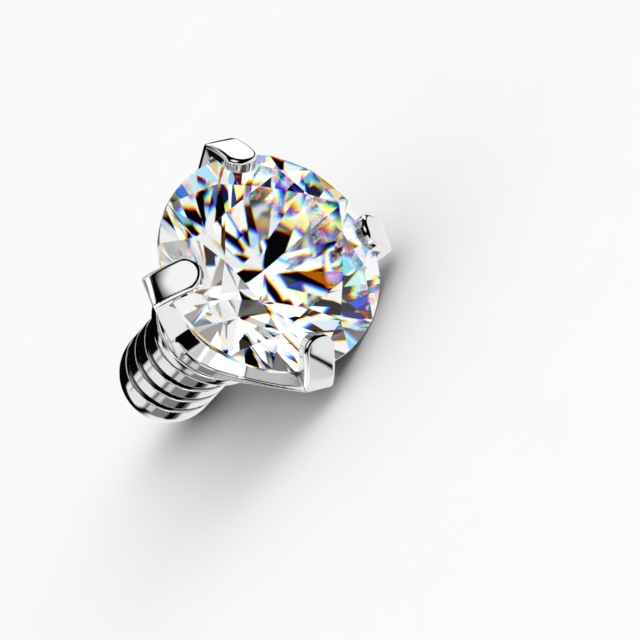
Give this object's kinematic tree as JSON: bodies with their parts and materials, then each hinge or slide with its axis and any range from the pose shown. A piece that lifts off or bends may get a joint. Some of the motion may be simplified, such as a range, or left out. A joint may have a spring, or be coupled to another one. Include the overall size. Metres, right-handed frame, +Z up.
{
  "type": "prong set piercing top with a threaded post",
  "caption": "Threaded piercing top: a round brilliant clear stone held by prongs on a short threaded post with a collar and a domed tip.",
  "frame": {"origin": "on the table under the middle of the piece's outer box, as the piece lies by itself", "axes": "+Z up; the stone's table faces -Y and a little upwards, and the threaded post points to +Y and a little downwards; X runs across, and the piece is the same on both sides of X = 0"},
  "size_m": [0.0028, 0.0044, 0.0027],
  "materials": {
    "stone": "clear cut stone with polished facets and rainbow fire",
    "head_metal": "mirror polished steel",
    "post_metal": "mirror polished steel, turned and threaded"
  },
  "bodies": {
    "root": {"stone": "stone", "prong_head": "head_metal", "threaded_post": "post_metal"}
  },
  "joints": []
}
